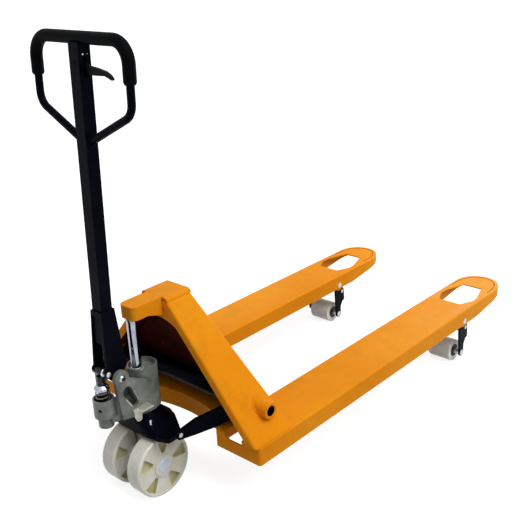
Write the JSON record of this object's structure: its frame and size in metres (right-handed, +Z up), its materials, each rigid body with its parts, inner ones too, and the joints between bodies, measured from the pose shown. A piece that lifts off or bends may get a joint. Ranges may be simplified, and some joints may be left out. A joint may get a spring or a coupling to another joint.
{
  "type": "hand pallet jack",
  "caption": "Hand pallet jack with tapered A-frame, hydraulic pump, hinged drawbar with loop handle, turning steer wheels and linked load rollers under two channel forks.",
  "frame": {"origin": "floor level under the middle of the overall length, on the plane of symmetry", "axes": "+X toward the fork tips, +Z up, +Y to the operator's left when facing the forks"},
  "size_m": [1.55, 0.685, 1.2286],
  "materials": {
    "orange_paint": "gloss powder coat",
    "black_paint": "satin powder coat",
    "pump_paint": "painted casting",
    "chrome": "polished",
    "zinc_plate": "zinc plated",
    "bare_steel": "oiled steel",
    "spring_steel": "drawn wire",
    "grip_rubber": "matte",
    "trigger_plastic": "matte",
    "wheel_nylon": "cast nylon",
    "hub_plastic": "moulded",
    "roller_nylon": "cast nylon",
    "seal_rubber": "matte"
  },
  "bodies": {
    "frame": {"fork_left": "orange_paint", "fork_right": "orange_paint", "leg_left": "orange_paint", "leg_right": "orange_paint", "head_plate": "orange_paint", "horn": "orange_paint", "front_gusset": "orange_paint", "back_plate": "orange_paint", "cross_plate": "orange_paint", "pivot_boss_left": "orange_paint", "pivot_boss_right": "orange_paint", "thrust_pad": "bare_steel"},
    "rocker": {"rocker_shaft": "bare_steel", "rocker_tube": "black_paint", "rocker_arm_left": "black_paint", "rocker_arm_right": "black_paint", "rocker_lug_left": "black_paint", "rocker_lug_right": "black_paint", "push_rod_pins": "zinc_plate"},
    "turntable": {"seat_plate": "black_paint", "seat_pins": "zinc_plate", "grease_nipple": "zinc_plate", "thrust_bearing": "zinc_plate"},
    "pump": {"pump_casting": "pump_paint", "gland_ring": "zinc_plate", "axle_carrier": "black_paint", "steer_axle": "zinc_plate", "release_lever_pin": "zinc_plate", "drawbar_pivot_pin": "chrome", "plunger_spring": "spring_steel"},
    "piston": {"piston_rod": "chrome"},
    "plunger": {"plunger": "zinc_plate", "spring_cap": "chrome"},
    "drawbar": {"drawbar_tube": "black_paint", "yoke": "black_paint", "handle_loop": "black_paint", "grip": "grip_rubber", "push_roller_pin": "zinc_plate", "trigger_pin": "zinc_plate"},
    "push_roller": {"push_roller": "zinc_plate"},
    "trigger": {"trigger": "trigger_plastic"},
    "control_rod": {"control_rod": "zinc_plate"},
    "release_lever": {"release_lever": "zinc_plate"},
    "wheel_left": {"wheel_left": "wheel_nylon", "wheel_bearings_left": "zinc_plate", "hub_cap_left": "hub_plastic"},
    "push_rod_left": {"push_rod_left": "black_paint"},
    "link_left": {"link_left": "black_paint", "link_pins_left": "zinc_plate"},
    "load_roller_left": {"load_roller_left": "roller_nylon", "roller_bearings_left": "seal_rubber"},
    "wheel_right": {"wheel_right": "wheel_nylon", "wheel_bearings_right": "zinc_plate", "hub_cap_right": "hub_plastic"},
    "push_rod_right": {"push_rod_right": "black_paint"},
    "link_right": {"link_right": "black_paint", "link_pins_right": "zinc_plate"},
    "load_roller_right": {"load_roller_right": "roller_nylon", "roller_bearings_right": "seal_rubber"}
  },
  "joints": [
    {"name": "lift", "type": "hinge", "parent": "frame", "child": "rocker", "pos_m": [-0.463, 0, 0.266], "axis": [0, 1, 0], "range_deg": [0, 41.6]},
    {"name": "seat_tilt", "type": "hinge", "parent": "rocker", "child": "turntable", "pos_m": [-0.607, 0, 0.19], "axis": [0, 1, 0], "range_deg": [-36.82, 0]},
    {"name": "steering", "type": "hinge", "parent": "turntable", "child": "pump", "pos_m": [-0.63, 0, 0.206], "axis": [0, 0, 1], "range_deg": [-90, 90]},
    {"name": "wheel_left_spin", "type": "hinge", "parent": "pump", "child": "wheel_left", "pos_m": [-0.636, 0.052, 0.09], "axis": [0, 1, 0], "continuous": true},
    {"name": "wheel_right_spin", "type": "hinge", "parent": "pump", "child": "wheel_right", "pos_m": [-0.636, -0.052, 0.09], "axis": [0, 1, 0], "continuous": true},
    {"name": "piston_slide", "type": "slide", "parent": "pump", "child": "piston", "axis": [0, 0, 1], "range_m": [-0.11768, 0]},
    {"name": "drawbar_swing", "type": "hinge", "parent": "pump", "child": "drawbar", "pos_m": [-0.712, 0, 0.378], "axis": [0, -1, 0], "range_deg": [0, 70], "stiffness_Nm_per_rad": 30, "springref_deg": -20.05},
    {"name": "plunger_stroke", "type": "slide", "parent": "pump", "child": "plunger", "axis": [0, 0, -1], "range_m": [0, 0.0443], "deforming": ["plunger_spring"]},
    {"name": "push_roller_spin", "type": "hinge", "parent": "drawbar", "child": "push_roller", "pos_m": [-0.743, 0, 0.4], "axis": [0, 1, 0], "continuous": true},
    {"name": "trigger_pull", "type": "hinge", "parent": "drawbar", "child": "trigger", "pos_m": [-0.68555, 0, 1.16163], "axis": [-0.9989, 0, 0.0476], "range_deg": [-12, 15], "stiffness_Nm_per_rad": 0.6},
    {"name": "control_rod_slide", "type": "slide", "parent": "drawbar", "child": "control_rod", "axis": [-0.0476, 0, -0.9989], "range_m": [-0.00235, 0.0029]},
    {"name": "release_lever_swing", "type": "hinge", "parent": "pump", "child": "release_lever", "pos_m": [-0.66, -0.0465, 0.272], "axis": [0, 1, 0], "range_deg": [-9.7, 12.1]},
    {"name": "push_rod_left_pivot", "type": "hinge", "parent": "rocker", "child": "push_rod_left", "pos_m": [-0.43175, 0.242, 0.18374], "axis": [0, 1, 0], "range_deg": [-42.17, 0]},
    {"name": "link_left_swing", "type": "hinge", "parent": "frame", "child": "link_left", "pos_m": [0.483, 0.2625, 0.16], "axis": [0, 1, 0], "range_deg": [0, 88.63]},
    {"name": "roller_left_spin", "type": "hinge", "parent": "link_left", "child": "load_roller_left", "pos_m": [0.488, 0.2625, 0.037], "axis": [0, 1, 0], "continuous": true},
    {"name": "push_rod_right_pivot", "type": "hinge", "parent": "rocker", "child": "push_rod_right", "pos_m": [-0.43175, -0.242, 0.18374], "axis": [0, 1, 0], "range_deg": [-42.17, 0]},
    {"name": "link_right_swing", "type": "hinge", "parent": "frame", "child": "link_right", "pos_m": [0.483, -0.2625, 0.16], "axis": [0, 1, 0], "range_deg": [0, 88.63]},
    {"name": "roller_right_spin", "type": "hinge", "parent": "link_right", "child": "load_roller_right", "pos_m": [0.488, -0.2625, 0.037], "axis": [0, 1, 0], "continuous": true}
  ],
  "couplings": [
    {"joint": "seat_tilt", "follows": "lift", "ratio": -0.8846},
    {"joint": "piston_slide", "follows": "lift", "m_per_rad": -0.16194},
    {"joint": "push_rod_left_pivot", "follows": "lift", "ratio": -1.0133},
    {"joint": "push_rod_right_pivot", "follows": "lift", "ratio": -1.0133},
    {"joint": "link_left_swing", "follows": "lift", "ratio": 2.13},
    {"joint": "link_right_swing", "follows": "lift", "ratio": 2.13},
    {"joint": "plunger_stroke", "follows": "drawbar_swing", "m_per_rad": 0.0362},
    {"joint": "control_rod_slide", "follows": "trigger_pull", "m_per_rad": 0.011},
    {"joint": "release_lever_swing", "follows": "trigger_pull", "ratio": 0.8}
  ]
}
